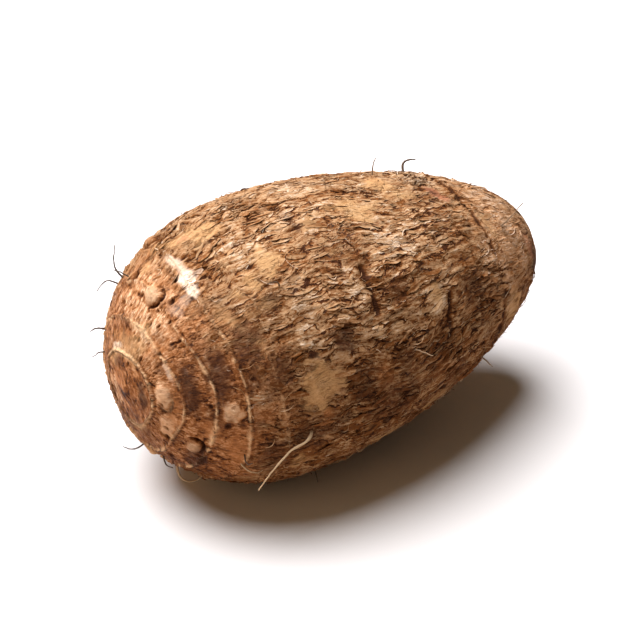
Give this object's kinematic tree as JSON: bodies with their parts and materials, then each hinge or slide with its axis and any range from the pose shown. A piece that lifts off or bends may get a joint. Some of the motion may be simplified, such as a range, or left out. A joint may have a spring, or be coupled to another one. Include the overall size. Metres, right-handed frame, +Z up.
{
  "type": "malanga",
  "caption": "Whole malanga corm lying on its side: egg-shaped, ringed with leaf scars, with fibrous bark, side buds and short rootlets, flat cut at its narrow end.",
  "frame": {"origin": "middle of the weight, straight down on the flat resting spot, so z = 0 is the surface it lies on", "axes": "+X along the corm's axis, from the ringed crown to the flat cut end; +Z up, away from the surface it lies on"},
  "size_m": [0.1168, 0.0768, 0.069],
  "materials": {
    "bark_skin": "matte",
    "cut_flesh": "matte",
    "rootlet_fibre": "matte"
  },
  "bodies": {
    "root": {"corm": "bark_skin"}
  },
  "joints": []
}
